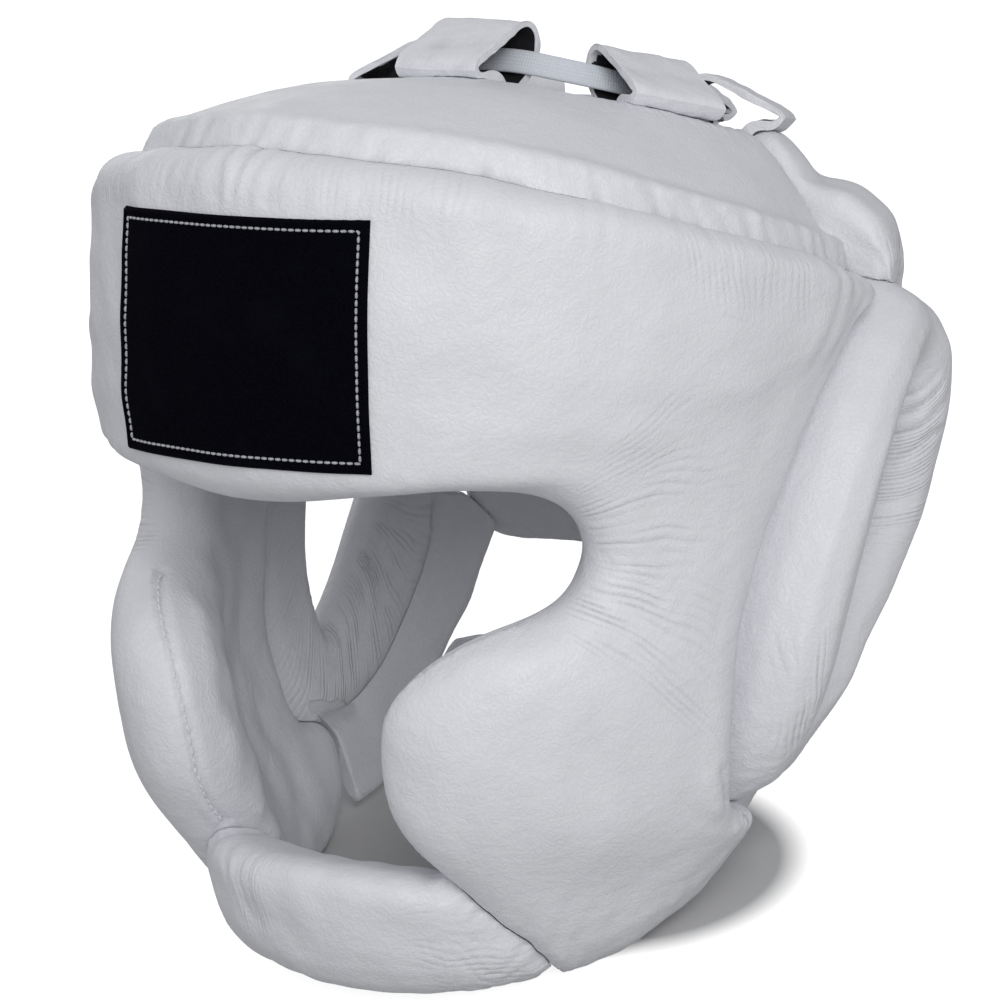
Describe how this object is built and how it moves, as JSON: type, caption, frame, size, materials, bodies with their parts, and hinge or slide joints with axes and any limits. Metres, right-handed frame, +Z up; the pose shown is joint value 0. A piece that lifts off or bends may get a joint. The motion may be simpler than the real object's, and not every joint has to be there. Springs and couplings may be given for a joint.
{
  "type": "boxing head guard",
  "caption": "Full-face padded boxing head guard with brow, cheeks, chin bar, ear guards, back pad and laced crown opening, resting on its jaw pads and neck strap.",
  "frame": {"origin": "middle of the box on the surface it rests on", "axes": "+Z up, -Y towards the front of the face opening, +X towards the wearer's left"},
  "size_m": [0.2446, 0.2752, 0.2571],
  "materials": {
    "leather": "soft white leather over foam padding",
    "patch_fabric": "matte black loop fabric",
    "webbing": "flat woven white webbing"
  },
  "bodies": {
    "root": {"face_shell": "leather", "chin_pad": "leather", "top_pad": "leather", "back_pad": "leather", "ear_guard_left": "leather", "ear_guard_right": "leather", "ear_panel_left": "leather", "ear_panel_right": "leather", "neck_strap": "leather", "forehead_patch": "patch_fabric", "crown_tab_front": "leather", "crown_tab_left": "leather", "crown_tab_left_rear": "leather", "crown_tab_rear": "leather", "crown_tab_right_rear": "leather", "crown_tab_right": "leather", "crown_lace": "webbing"}
  },
  "joints": []
}
